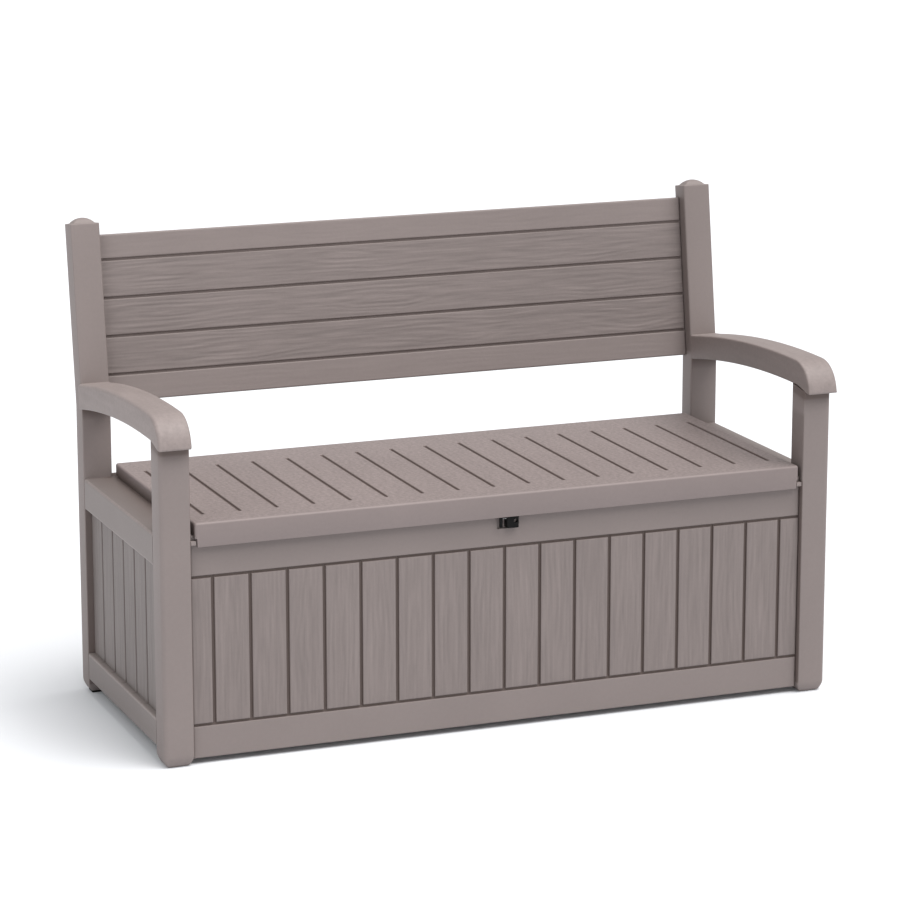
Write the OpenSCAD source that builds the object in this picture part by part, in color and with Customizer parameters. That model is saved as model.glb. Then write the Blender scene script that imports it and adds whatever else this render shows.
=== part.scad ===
// Storage bench in moulded resin: a lidded box with armrests and a leaning plank backrest.
// Millimetres, +Z up, front towards -Y. The origin is the centre of the footprint, on the ground.
// Inside the modules y is measured back from the front face of the front legs.

/* [Overall] */
// Width over the two armrests
bench_w = 1326; // [1300:1:1350]
// From the front face of the front legs to the front face of the rear posts
post_y = 492; // [485:1:500]
// Height of the seat's top surface
seat_z = 447; // [440:1:455]
// Height of the backrest panel's top edge
back_z = 874; // [860:1:885]

/* [Legs and posts] */
// Width of a leg or post
leg_w = 56; // [52:1:60]
// Depth of a front leg
leg_d = 50; // [46:1:54]
// Depth of a rear post
post_d = 44; // [42:1:48]
// Radius of the long edges
edge_r = 9; // [6:0.5:11]
// Height at which a rear post starts to lean back
kink_z = 562; // [556:1:568]
// Lean of the backrest from the vertical, in degrees
lean = 8.1; // [6:0.1:10]
// Height of a post's top corners, measured at its front face
post_top_z = 900.5; // [892:0.5:902]
// Rise of the crown on top of a post
crown_h = 10.5; // [8:0.5:14]
// Width of the flat shoulder round the crown
shoulder = 6.5; // [3:0.5:8]
// Inset of the taper at each foot
foot_inset = 8; // [6:0.5:9]
// Height of the taper at each foot
foot_h = 11; // [9:1:20]

/* [Armrests] */
// Width of an armrest
arm_w = 61; // [58:1:64]
// Thickness of an armrest
arm_t = 47; // [44:1:50]
// Radius of the armrest's top arc
arm_r = 2250; // [2200:10:2300]
// Height of the top arc's crest
arm_crest_z = 643; // [640:1:646]
// Distance of the crest behind the leg's front face
arm_crest_y = 80; // [70:1:90]
// Overhang of the armrest's nose in front of the leg
nose_out = 19; // [14:0.5:28]
// Radius of the nose
nose_r = 62; // [40:1:66]
// Drop of the armrest's underside at the nose
nose_drop = 8; // [4:0.5:10]

/* [Lid] */
// Half of the lid's width
lid_half = 594; // [590:0.5:596]
// Depth of the lid's rear edge behind the leg's front face
lid_rear_y = 499; // [495:1:502]
// Height of the lid's front lip
lip_h = 44; // [40:1:46]
// Height of the lid's sides
lid_h = 23.7; // [22:0.1:24]

/* [Planks] */
// Pitch of the planks on the seat, the front and the sides
plank_pitch = 70; // [69:0.1:70.5]
// Pitch of the planks on the backrest, along its slope
back_pitch = 72.3; // [70:0.1:74]
// Width of the grooves between planks
groove_w = 6.5; // [4:0.5:7]
// Depth of the grooves between planks
groove_d = 4; // [3:0.5:4.5]
// Width of the seat's grooves
seat_groove_w = 5.2; // [3:0.2:6]

/* [Hinge] */
// Distance of each hinge from the bench's centre
hinge_x = 400; // [360:1:420]
// Radius of the hinge pins
pin_r = 4; // [3.5:0.1:4.5]

/* [Hidden] */
$fn = 48;
fine = 720; // segments of the armrest's long arcs
eps = 1; // how far a cutter runs past the face it cuts
gap = 0.2; // clearance of tongues, pegs and plugs
left = -1;
right = 1;

resin = [0.60, 0.56, 0.54];
black = [0.06, 0.06, 0.06];
steel = [0.70, 0.70, 0.72];

// Frame
arm_out = bench_w / 2;
leg_out = arm_out - 5;
leg_in = leg_out - leg_w;
arm_in = arm_out - arm_w;
leg_z = 1; // height of a front leg's lower end above the ground
post_z = 4; // height of a rear post's lower end above the ground, on its pad
arm_axis_z = arm_crest_z - arm_r;
arm_low_r = arm_r - arm_t;
nose_y = nose_r - nose_out; // the nose's centre, where it runs smoothly into the arc
nose_z = arm_axis_z + sqrt(pow(arm_r - nose_r, 2) - pow(nose_y - arm_crest_y, 2));
nose_corner = 5; // radius of the nose's corners in plan
drop_y = 38; // where the underside starts to drop
post_s = (post_top_z - kink_z) / cos(lean); // a post's corner height along its slope
crown_s = post_s + crown_h;
rear_y = post_y + post_d;
back_y = post_y + post_d * cos(lean) + post_s * sin(lean);
mid_y = (back_y - nose_out) / 2;
tongue = 10; // how far a panel's tongue runs into a leg or post
hollow_wall = 14; // wall between a leg's hollow and the faces that take a tongue
foot_wall = 12; // wall between a leg's hollow and its outer faces
hollow_z = 540;
peg = 20;

// Panels
skin = 6;
rib = 3;
front_face = 10; // recess of the front panel behind the legs
front_depth = 20;
rail_z = seat_z - 24; // top of the box, under the lid
front_low_z = 11;
plank_low_z = 72.5;
plank_top_z = 346;
planks = 8; // grooves on each side of the middle one
side_recess = 13;
shelf_w = 80; // width of the side rails' flat top
side_rail_z = 365;
side_low_z = 30;
side_low_top_z = 82;
side_planks = 5;
side_groove_y = 142;
rear_face = rear_y - 8;
rear_in = post_y + 22;
rear_top_z = 404;
rear_wall_z = 422; // top of the rear panel's outer wall, behind the lid
gutter_y = post_y + 3; // front edge of the rear panel's top flange, under the lid
floor_z = 44;
floor_skin = 4;
floor_rest_z = 18;

// Backrest, in its own leaning frame: x, depth t, height along the slope s
back_recess = 22;
shell_t = 12;
cover_t = 8;
back_skin = 6;
cover_skin = 3;
back_low_s = slope(561.6);
back_top_s = slope(back_z);
back_groove_s = slope(612);
boss_r = 7;

// Lid
lid_front_y = 0.8;
lid_under = seat_z - lid_h;
lip_t = 8;
lid_skin = 5;
lid_wall = 4;
liner_t = 3;
liner_gap = 1;
corner_r = 5;
round_r = 4; // rounding of the lid's top edges
seat_groove_y = [65, 415];
seat_groove_d = 3;
rest_w = 11;
rest_z = [406.5, 414.5];
notch_gap = 1.5;
notch_top = 418.5; // top of the notch in the lid above a rest

// Hinge: the pin's axis runs along X
axis_y = 485;
axis_z = 423;
barrel_r = 9;
pin_play = 0.06;
knuckle_w = 30;
ear_w = 12;
ear_gap = 0.5;
ear_out = knuckle_w / 2 + ear_gap + ear_w;
notch_half = ear_out + 4;
shelf_z = [384, 396];
base_z = [340, 396];
foot_plate = 4;
foot_half = 14;

// Lock
lock_x = 18.2;
lock_z = 395;
lock_r = 4;
lock_low_z = 382;
lock_left = -13;
lock_right = 23.5;
lock_plate = 3.5;
plate_x = 1.5; // left edge of the two eye plates
box_plate_z = 400.4; // top of the box's eye plate, just under the lid's strip
bar_w = 5;
web_w = 5;
pocket_d = 14;

// Screws: shank radius, head radius, head height
back_screw = [2, 4, 2.4];
arm_screw = [3, 6, 4];
hinge_screw = [2.2, 4.2, 2.4];
lock_screw = [1.2, 2.2, 1.2];
play = 0.1;

// Height along the slope of a point at height z on the backrest panel's front face
function slope(z) = (z - kink_z + back_recess * sin(lean)) / cos(lean);

module place() translate([0, -mid_y, 0]) children();
module on_side(side) mirror([side < 0 ? 1 : 0, 0, 0]) children();
module lean_frame() translate([0, post_y, kink_z]) rotate([-lean, 0, 0]) children();
module block(low, high) translate(low) cube(high - low);
module extrude_x(x0, x1) translate([x0, 0, 0]) rotate([90, 0, 90]) linear_extrude(x1 - x0) children();
module extrude_y(y0, y1) translate([0, y1, 0]) rotate([90, 0, 0]) linear_extrude(y1 - y0) children();
module extrude_z(z0, z1) translate([0, 0, z0]) linear_extrude(z1 - z0) children();

// A rectangle with round corners, from its low corner to its high corner
module rounded(low, high, r) {
    translate([low.x + r, low.y]) square([high.x - low.x - 2 * r, high.y - low.y]);
    translate([low.x, low.y + r]) square([high.x - low.x, high.y - low.y - 2 * r]);
    for (x = [low.x + r, high.x - r], y = [low.y + r, high.y - r]) translate([x, y]) circle(r);
}

// A screw along +Z whose head's underside is at z = 0, and the hole that it sits in
module screw(size, length) {
    translate([0, 0, -size[2]]) cylinder(r = size[1], h = size[2]);
    cylinder(r = size[0], h = length);
}
module screw_hole(size, length) cylinder(r = size[0] + play, h = length + play);

// ---- Legs and posts ----

// Outline of a foot: a rectangle whose lower corners taper in
module foot_outline(a, b, low, top) polygon([
    [a + foot_inset, low], [b - foot_inset, low], [b, low + foot_h],
    [b, top], [a, top], [a, low + foot_h]]);

module footed_prism(y0, y1, top) intersection() {
    extrude_z(leg_z, top) rounded([leg_in, y0], [leg_out, y1], edge_r);
    extrude_x(leg_in, leg_out) foot_outline(y0, y1, leg_z, top);
    extrude_y(y0, y1) foot_outline(leg_in, leg_out, leg_z, top);
}

module leg_hollow(y0, y1) block([leg_in + hollow_wall, y0, leg_z - eps],
    [leg_out - foot_wall, y1, hollow_z]);

module arm_peg(play) block([leg_in + 18 - play, 15 - play, 575 - play],
    [leg_in + 18 + peg + play, 15 + peg + play, 600]);

module front_leg(side) color(resin) place() on_side(side) difference() {
    intersection() {
        footed_prism(0, leg_d, arm_crest_z);
        extrude_x(leg_in - eps, leg_out + eps) below_arm();
    }
    leg_hollow(foot_wall, leg_d - hollow_wall);
    arm_peg(gap);
    front_tongue(gap);
    side_tongues(gap);
}

module rear_post(side) color(resin) place() on_side(side) difference() {
    union() {
        intersection() {
            extrude_x(leg_in, leg_out) post_outline();
            extrude_y(post_y, back_y + eps) foot_outline(leg_in, leg_out, post_z, crown_s + kink_z);
        }
        lean_frame() intersection() {
            extrude_y(shoulder, post_d - shoulder) crown(leg_in, leg_out);
            extrude_x(leg_in + shoulder, leg_out - shoulder) crown(0, post_d);
        }
    }
    leg_hollow(post_y + hollow_wall, rear_y - foot_wall);
    side_tongues(gap);
    rear_tongue(gap);
    lean_frame() back_tongue(gap);
    arm_screw_place() {
        screw_hole(arm_screw, 90);
        translate([0, 0, -20]) cylinder(r = arm_screw[1] + play, h = 20);
    }
}

// Side view of a rear post: upright to the kink, then leaning back
module post_outline() polygon([
    [post_y + foot_inset, post_z], [rear_y - foot_inset, post_z], [rear_y, post_z + foot_h],
    [rear_y, kink_z - post_d * tan(lean / 2)],
    [back_y, kink_z + post_s * cos(lean) - post_d * sin(lean)],
    [post_y + post_s * sin(lean), kink_z + post_s * cos(lean)],
    [post_y, kink_z], [post_y, post_z + foot_h]]);

// Outline of the crown on a post whose top runs from a to b
module crown(a, b) {
    half = (b - a) / 2 - shoulder;
    r = (pow(half, 2) + pow(crown_h, 2)) / (2 * crown_h);
    intersection() {
        translate([a + shoulder, post_s - shoulder]) square([2 * half, crown_h + shoulder]);
        translate([(a + b) / 2, crown_s - r]) circle(r, $fn = 180);
    }
}

// Plugs in the legs' hollows that stand on the ground; the rear ones carry a plate under the post
module foot_pads() color(black) place() for (side = [left, right]) on_side(side) {
    foot_plug(foot_wall, leg_d - hollow_wall);
    foot_plug(post_y + hollow_wall, rear_y - foot_wall);
    extrude_z(0, post_z) rounded([leg_in + foot_inset + 1, post_y + foot_inset + 1],
        [leg_out - foot_inset - 1, rear_y - foot_inset - 1], 3);
}

module foot_plug(y0, y1) block([leg_in + hollow_wall + gap, y0 + gap, 0],
    [leg_out - foot_wall - gap, y1 - gap, 18]);

// ---- Armrests ----

// Height of an armrest's underside over its last stretch towards the nose
function drop_share(y) = min(1, (drop_y - y) / (drop_y + nose_out));
function under_z(y) = arm_axis_z + sqrt(pow(arm_low_r, 2) - pow(y - arm_crest_y, 2))
    - nose_drop * pow(drop_share(y), 2) * (3 - 2 * drop_share(y));

// Everything below the armrest's underside
module below_arm() difference() {
    translate([arm_crest_y, arm_axis_z]) circle(arm_low_r, $fn = fine);
    polygon([for (y = [drop_y:-3:-nose_out]) [y, under_z(y)],
        [-nose_out - 60, under_z(-nose_out)], [-nose_out - 60, 700], [drop_y, 700]]);
}

// Side view of an armrest: a long arc of even thickness that ends in a round nose
module arm_outline() difference() {
    intersection() {
        translate([arm_crest_y, arm_axis_z]) circle(arm_r, $fn = fine);
        union() {
            translate([nose_y, 500]) square([600, 200]);
            translate([nose_y, nose_z]) circle(nose_r, $fn = 180);
        }
    }
    below_arm();
}

module armrest(side) color(resin) place() on_side(side) difference() {
    union() {
        intersection() {
            extrude_x(arm_in, arm_out) arm_outline();
            extrude_z(500, 700) rounded([arm_in, -nose_out], [arm_out, 600], nose_corner);
        }
        intersection() {
            arm_peg(0);
            translate([leg_in - eps, arm_crest_y, arm_axis_z]) rotate([0, 90, 0])
                cylinder(r = arm_low_r + 2, h = leg_w + 2 * eps, $fn = fine);
        }
    }
    behind_post_face();
    arm_screw_place() screw_hole(arm_screw, 90);
}

// Everything behind the front face of the rear posts
module behind_post_face() {
    block([0, post_y, 0], [arm_out + 20, 800, kink_z]);
    lean_frame() block([0, 0, -100], [arm_out + 20, 300, 400]);
}

module arm_screw_place() translate([leg_in + leg_w / 2, rear_y - 2, 580]) rotate([90, 0, 0]) children();

module armrest_screws() color(steel) place() for (side = [left, right]) on_side(side)
    arm_screw_place() screw(arm_screw, 85);

// ---- Box panels ----

module front_tongue(play) block([leg_in - play, front_face + 4 - play, 30 - play],
    [leg_in + tongue + play, front_face + 16 + play, 400 + play]);
module rear_tongue(play) block([leg_in - play, rear_in + 2 - play, 30 - play],
    [leg_in + tongue + play, rear_face - 2 + play, 390 + play]);
module side_tongue(y, play) block([leg_out - side_recess - 14 - play, y - tongue - play, 50 - play],
    [leg_out - side_recess - 2 + play, y + tongue + play, 400 + play]);
module side_tongues(play) {
    side_tongue(leg_d, play);
    side_tongue(post_y, play);
}
module back_tongue(play) block([leg_in - play, back_recess + 2 - play, 20 - play],
    [leg_in + tongue + play, back_recess + shell_t + play, 300 + play]);

module front_panel() color(resin) place() difference() {
    union() {
        block([-leg_in, front_face, front_low_z], [leg_in, front_face + skin, rail_z]);
        block([-leg_in, front_face, rail_z - skin], [leg_in, front_face + front_depth, rail_z]);
        block([-leg_in, front_face, front_low_z], [leg_in, front_face + 34, floor_rest_z]);
        for (i = [-planks:planks]) block([i * plank_pitch - rib / 2, front_face, front_low_z],
            [i * plank_pitch + rib / 2, front_face + front_depth, rail_z]);
        for (x = [-leg_in, leg_in - rib]) block([x, front_face, front_low_z],
            [x + rib, front_face + front_depth, rail_z]);
        for (z = [plank_low_z, plank_top_z]) block([-leg_in, front_face, z - rib / 2],
            [leg_in, front_face + front_depth - 4, z + rib / 2]);
        block([lock_left - 6, front_face, lock_low_z - 7],
            [lock_right + 7, front_face + pocket_d + skin, rail_z]);
        for (side = [left, right]) on_side(side) front_tongue(0);
    }
    for (i = [-planks:planks]) block([i * plank_pitch - groove_w / 2, front_face - eps, plank_low_z],
        [i * plank_pitch + groove_w / 2, front_face + groove_d, plank_top_z]);
    for (z = [plank_low_z, plank_top_z]) block([-leg_in - eps, front_face - eps, z - groove_w / 2],
        [leg_in + eps, front_face + groove_d, z + groove_w / 2]);
    block([lock_left - 2, front_face - eps, lock_low_z - 2], [lock_right + 4, front_face + pocket_d, 403]);
    box_lock_screw_places() screw_hole(lock_screw, 12);
}

module rear_panel() color(resin) place() difference() {
    union() {
        block([-leg_in, rear_face - skin, front_low_z], [leg_in, rear_face, rear_wall_z]);
        block([-leg_in, gutter_y, rear_top_z - skin], [leg_in, rear_face, rear_top_z]);
        block([-leg_in, post_y + 8, front_low_z], [leg_in, rear_face, floor_rest_z]);
        for (i = [-planks:planks]) block([i * plank_pitch - rib / 2, rear_in, front_low_z],
            [i * plank_pitch + rib / 2, rear_face, rear_top_z]);
        for (side = [left, right]) on_side(side) {
            rear_tongue(0);
            block([leg_in - rib, rear_in, front_low_z], [leg_in, rear_face, rear_top_z]);
            block([hinge_x - ear_out - 4, rear_in, base_z[0] - 4],
                [hinge_x + ear_out + 4, rear_face, rear_top_z]);
        }
    }
    for (i = [-planks:planks]) block([i * plank_pitch - groove_w / 2, rear_face - groove_d, plank_low_z],
        [i * plank_pitch + groove_w / 2, rear_face + eps, plank_top_z]);
    for (z = [plank_low_z, plank_top_z]) block([-leg_in - eps, rear_face - groove_d, z - groove_w / 2],
        [leg_in + eps, rear_face + eps, z + groove_w / 2]);
    for (side = [left, right]) on_side(side) bracket_screw_places() screw_hole(hinge_screw, 16);
}

// A side panel: recessed planks between two hollow rails that are flush with the legs.
// Its flat top is notched at the back, where the lid's rear edge swings down.
module side_panel(side) color(resin) place() on_side(side) {
    field = leg_out - side_recess;
    inner = field - skin;
    difference() {
        union() {
            block([inner, leg_d, side_low_z], [field, post_y, rail_z]);
            block([leg_out - skin, leg_d, side_rail_z], [leg_out, post_y, rail_z]);
            block([leg_out - shelf_w, leg_d, rail_z - skin], [leg_out, post_y, rail_z]);
            block([leg_out - shelf_w, front_face + front_depth, rail_z - skin],
                [leg_in, leg_d + eps, rail_z]);
            block([leg_out - shelf_w, leg_d, rail_z - 24], [leg_out - shelf_w + 5, post_y, rail_z]);
            block([inner, leg_d, side_rail_z], [leg_out, post_y, side_rail_z + skin]);
            block([leg_out - skin, leg_d, side_low_z], [leg_out, post_y, side_low_top_z]);
            for (z = [side_low_z, side_low_top_z - skin])
                block([inner, leg_d, z], [leg_out, post_y, z + skin]);
            for (i = [0:side_planks - 1]) {
                y = side_groove_y + i * plank_pitch;
                block([inner - 9, y - rib / 2, floor_z + 2], [inner + eps, y + rib / 2, rail_z]);
                block([leg_out - shelf_w, y - rib / 2, rail_z - 24], [inner + eps, y + rib / 2, rail_z]);
            }
            side_tongues(0);
        }
        block([leg_out - shelf_w - eps, axis_y - 2, rail_z - 24 - eps],
            [lid_half + notch_gap, post_y + eps, rail_z + eps]);
        for (i = [0:side_planks - 1]) block(
            [field - groove_d, side_groove_y + i * plank_pitch - groove_w / 2, side_low_top_z],
            [field + eps, side_groove_y + i * plank_pitch + groove_w / 2, side_rail_z]);
    }
}

module floor_panel() color(resin) place() {
    wide = leg_out - side_recess - skin - 10;
    front = front_face + front_depth + 1;
    back = rear_in - 1;
    block([-leg_in, front, floor_z - floor_skin], [leg_in, back, floor_z]);
    block([-wide, leg_d + 1, floor_z - floor_skin], [wide, post_y - 1, floor_z]);
    for (y = [front + 4, 155, 272, 389, back - 8]) block([-leg_in, y, floor_rest_z],
        [leg_in, y + rib, floor_z - floor_skin]);
    for (i = [-4:4]) block([i * 2 * plank_pitch - rib / 2, front + 4, floor_rest_z],
        [i * 2 * plank_pitch + rib / 2, back - 8, floor_z - floor_skin]);
}

// ---- Backrest ----

back_screw_x = [-510, -170, 170, 510];
back_screw_s = [32, 292];

module back_screw_places() for (x = back_screw_x, s = back_screw_s)
    translate([x, back_recess + shell_t + cover_t, s]) rotate([90, 0, 0]) children();

module backrest_panel() color(resin) place() lean_frame() difference() {
    flange = back_recess + shell_t;
    columns = [-leg_in, -340, 0, 340, leg_in];
    rows = [back_low_s, for (k = [0:3]) back_groove_s + k * back_pitch, back_top_s];
    union() {
        difference() {
            block([-leg_in, back_recess, back_low_s], [leg_in, flange, back_top_s]);
            for (i = [0:3], j = [0:4]) block(
                [columns[i] + rib / 2 + (i == 0 ? rib / 2 : 0), back_recess + back_skin, rows[j] + rib],
                [columns[i + 1] - rib / 2 - (i == 3 ? rib / 2 : 0), flange + eps, rows[j + 1] - rib]);
        }
        for (x = back_screw_x, s = back_screw_s) translate([x, flange, s])
            rotate([90, 0, 0]) cylinder(r = boss_r, h = shell_t - back_skin + eps);
        for (side = [left, right]) on_side(side) back_tongue(0);
    }
    for (k = [0:3]) block(
        [-leg_in - eps, back_recess - eps, back_groove_s + k * back_pitch - groove_w / 2],
        [leg_in + eps, back_recess + groove_d - 1, back_groove_s + k * back_pitch + groove_w / 2]);
    back_screw_places() screw_hole(back_screw, 16);
}

module backrest_cover() color(resin) place() lean_frame() difference() {
    inner = back_recess + shell_t;
    outer = inner + cover_t;
    low = [-leg_in + 0.5, back_low_s + 0.5];
    high = [leg_in - 0.5, back_top_s - 0.5];
    union() {
        difference() {
            block([low.x, inner, low.y], [high.x, outer, high.y]);
            block([low.x + rib, inner - eps, low.y + rib],
                [high.x - rib, outer - cover_skin, high.y - rib]);
        }
        for (x = back_screw_x, s = back_screw_s) translate([x, outer - eps, s])
            rotate([90, 0, 0]) cylinder(r = boss_r, h = cover_t - eps);
    }
    back_screw_places() {
        screw_hole(back_screw, 16);
        translate([0, 0, -eps]) cylinder(r = back_screw[1] + play, h = back_screw[2] + eps);
    }
}

module backrest_screws() color(steel) place() lean_frame() back_screw_places()
    translate([0, 0, back_screw[2]]) screw(back_screw, 12);

// ---- Lid ----

// Side view of the lid: a slab with a deeper lip at the front
module lid_outline() {
    rounded([lid_front_y, lid_under], [lid_rear_y, seat_z], round_r);
    translate([lid_front_y, seat_z - lip_h]) square([lip_t, lip_h - round_r]);
    translate([lid_front_y + 20, lid_under]) square([lid_rear_y - lid_front_y - 20, 10]);
}

module lid_panel() color(resin) place() difference() {
    intersection() {
        extrude_x(-lid_half, lid_half) lid_outline();
        extrude_z(300, 500) rounded([-lid_half, lid_front_y - 30], [lid_half, lid_rear_y], corner_r);
        extrude_y(-50, 600) union() {
            rounded([-lid_half, 300], [lid_half, seat_z], round_r);
        }
    }
    block([-lid_half + lid_wall, lid_front_y + lip_t, 300],
        [lid_half - lid_wall, lid_rear_y - lid_wall, seat_z - lid_skin]);
    for (i = [-planks:planks]) extrude_z(seat_z - seat_groove_d, seat_z + eps) seat_groove(i * plank_pitch);
    for (side = [left, right]) on_side(side) {
        block([hinge_x - notch_half, axis_y, 300], [hinge_x + notch_half, 600, seat_z - lid_skin]);
        block([leg_in - rest_w - notch_gap, -10, 300],
            [leg_in, lid_front_y + lip_t + eps, notch_top]);
        knuckle_screw_places() screw_hole(hinge_screw, 10);
    }
    lid_lock_screw_places() screw_hole(lock_screw, 12);
}

// A seat groove in plan: a slot with round ends
module seat_groove(x) {
    translate([x - seat_groove_w / 2, seat_groove_y[0]])
        square([seat_groove_w, seat_groove_y[1] - seat_groove_y[0]]);
    for (y = seat_groove_y) translate([x, y]) circle(seat_groove_w / 2);
}

module lid_liner() color(resin) place() difference() {
    x = lid_half - lid_wall - liner_gap;
    front = lid_front_y + lip_t + liner_gap;
    back = lid_rear_y - lid_wall - liner_gap;
    plate = seat_z - lid_skin - liner_t;
    union() {
        block([-x, front, plate], [x, back, plate + liner_t]);
        for (y = [front, 130, 250, 370, 455]) block([-x, y, lid_under], [x, y + rib, plate + eps]);
        block([-x, back - rib, lid_under], [x, back, plate + eps]);
        for (i = [-planks / 2:planks / 2]) block([i * 2 * plank_pitch - rib / 2, front, lid_under],
            [i * 2 * plank_pitch + rib / 2, back, plate + eps]);
        for (s = [-x, x - rib]) block([s, front, lid_under], [s + rib, back, plate + eps]);
    }
    for (side = [left, right]) on_side(side) {
        block([hinge_x - notch_half, axis_y - foot_half - 4, 300], [hinge_x + notch_half, 600, plate]);
        knuckle_screw_places() screw_hole(hinge_screw, 10);
    }
}

// ---- Hinges ----

module hinge_bracket(side) color(resin) place() on_side(side) difference() {
    union() {
        block([hinge_x - ear_out, rear_in - 8, base_z[0]], [hinge_x + ear_out, rear_in, base_z[1]]);
        block([hinge_x - ear_out, axis_y - 6, shelf_z[0]], [hinge_x + ear_out, rear_in, shelf_z[1]]);
        for (x = [hinge_x - ear_out, hinge_x + ear_out - ear_w]) {
            block([x, axis_y - 6, shelf_z[0]], [x + ear_w, axis_y + 6, axis_z]);
            translate([x, axis_y, axis_z]) rotate([0, 90, 0]) cylinder(r = barrel_r, h = ear_w);
        }
    }
    translate([hinge_x - 50, axis_y, axis_z]) rotate([0, 90, 0]) cylinder(r = pin_r, h = 100);
    bracket_screw_places() screw_hole(hinge_screw, 16);
}

module hinge_knuckle(side) color(resin) place() on_side(side) difference() {
    top = seat_z - lid_skin - liner_t;
    union() {
        translate([hinge_x - knuckle_w / 2, axis_y, axis_z]) rotate([0, 90, 0])
            cylinder(r = barrel_r, h = knuckle_w);
        block([hinge_x - knuckle_w / 2, axis_y - 6, axis_z], [hinge_x + knuckle_w / 2, axis_y + 6, top]);
        block([hinge_x - ear_out, axis_y - foot_half, top - foot_plate],
            [hinge_x + ear_out, axis_y + foot_half - 5, top]);
    }
    translate([hinge_x - 50, axis_y, axis_z]) rotate([0, 90, 0]) cylinder(r = pin_r + pin_play, h = 100);
    knuckle_screw_places() screw_hole(hinge_screw, 10);
}

module hinge_pin(side) color(steel) place() on_side(side)
    translate([hinge_x - ear_out, axis_y, axis_z]) rotate([0, 90, 0]) cylinder(r = pin_r, h = 2 * ear_out);

module bracket_screw_places() for (x = [-15, 15], z = [352, 372])
    translate([hinge_x + x, rear_in - 8, z]) rotate([-90, 0, 0]) children();

module knuckle_screw_places() for (x = [-21, 21])
    translate([hinge_x + x, axis_y, seat_z - lid_skin - liner_t - foot_plate]) children();

module bracket_screws() color(steel) place() for (side = [left, right]) on_side(side)
    bracket_screw_places() screw(hinge_screw, 14);

module knuckle_screws() color(steel) place() for (side = [left, right]) on_side(side)
    knuckle_screw_places() screw(hinge_screw, 9);

// ---- Lid rests and lock ----

module lid_rest(side) color(resin) place() on_side(side)
    block([leg_in - rest_w, 2.5, rest_z[0]], [leg_in, front_face, rest_z[1]]);

// A plate with rounded corners and the padlock's hole through it
module eye_plate(y0, y1, top) difference() {
    extrude_y(y0, y1) rounded([plate_x, lock_low_z], [lock_right, top], 1.5);
    translate([lock_x, y1 + eps, lock_z]) rotate([90, 0, 0]) cylinder(r = lock_r, h = y1 - y0 + 2 * eps);
}

// The lid's eye: a strip under the lip that carries a plate at one end and a bar at the other
module lid_lock_eye() color(black) place() difference() {
    strip_z = seat_z - lip_h - 2;
    union() {
        block([lock_left, 2, strip_z], [lock_right, 8.5, seat_z - lip_h]);
        block([lock_left, 1, lock_low_z + 2.5], [lock_left + bar_w, 5, strip_z + eps]);
        eye_plate(1, 1 + lock_plate, strip_z + eps);
    }
    lid_lock_screw_places() screw_hole(lock_screw, 12);
}

// The box's eye: a plate on a web that runs back to the pocket's rear wall
module box_lock_eye() color(black) place() difference() {
    union() {
        eye_plate(5, 5 + lock_plate, box_plate_z);
        block([plate_x, 5, lock_low_z + 1], [plate_x + web_w, front_face + pocket_d, box_plate_z - 1]);
    }
    box_lock_screw_places() screw_hole(lock_screw, 12);
}

module box_lock_screw_places() for (z = [387, 395])
    translate([plate_x + web_w / 2, front_face + pocket_d + skin, z]) rotate([90, 0, 0]) children();

module lid_lock_screw_places() for (x = [-5.6, -0.9])
    translate([x, 4.8, seat_z - lip_h - 2]) children();

module box_lock_screws() color(steel) place() box_lock_screw_places() screw(lock_screw, 11.5);
module lid_lock_screws() color(steel) place() lid_lock_screw_places() screw(lock_screw, 10);

front_panel();
rear_panel();
side_panel(left);  // left_side_panel
side_panel(right);  // right_side_panel
floor_panel();
front_leg(left);  // left_front_leg
front_leg(right);  // right_front_leg
rear_post(left);  // left_rear_post
rear_post(right);  // right_rear_post
armrest(left);  // left_armrest
armrest(right);  // right_armrest
backrest_panel();
backrest_cover();
lid_panel();
lid_liner();
hinge_bracket(left);  // left_hinge_bracket
hinge_bracket(right);  // right_hinge_bracket
hinge_knuckle(left);  // left_hinge_knuckle
hinge_knuckle(right);  // right_hinge_knuckle
hinge_pin(left);  // left_hinge_pin
hinge_pin(right);  // right_hinge_pin
lid_rest(left);  // left_lid_rest
lid_rest(right);  // right_lid_rest
lid_lock_eye();
box_lock_eye();
foot_pads();
armrest_screws();
backrest_screws();
bracket_screws();
knuckle_screws();
box_lock_screws();
lid_lock_screws();
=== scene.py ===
"""Storage bench: its looks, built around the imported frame. Metres, front towards -Y, +Z up."""

import math

import bmesh
import bpy
import numpy as np
from mathutils import Matrix, Vector

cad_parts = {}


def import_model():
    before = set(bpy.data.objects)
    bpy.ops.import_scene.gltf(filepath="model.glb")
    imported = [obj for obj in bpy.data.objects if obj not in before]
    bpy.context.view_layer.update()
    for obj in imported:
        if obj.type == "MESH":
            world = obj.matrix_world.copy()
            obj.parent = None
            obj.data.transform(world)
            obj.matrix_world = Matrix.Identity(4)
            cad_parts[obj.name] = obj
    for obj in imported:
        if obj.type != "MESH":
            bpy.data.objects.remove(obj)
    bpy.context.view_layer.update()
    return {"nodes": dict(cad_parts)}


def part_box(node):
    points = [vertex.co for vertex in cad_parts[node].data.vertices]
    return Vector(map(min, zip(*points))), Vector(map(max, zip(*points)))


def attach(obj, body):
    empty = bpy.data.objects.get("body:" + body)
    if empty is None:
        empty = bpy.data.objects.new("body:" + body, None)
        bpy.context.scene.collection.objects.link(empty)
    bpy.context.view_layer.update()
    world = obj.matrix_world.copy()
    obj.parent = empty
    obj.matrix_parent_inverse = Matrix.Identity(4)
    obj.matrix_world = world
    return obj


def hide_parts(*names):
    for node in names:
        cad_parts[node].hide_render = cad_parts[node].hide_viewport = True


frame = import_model()

MM = 0.001
LEAN = math.radians(8.1)  # of the backrest and the upper posts
KINK_Z = 0.562  # where the posts start to lean

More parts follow.
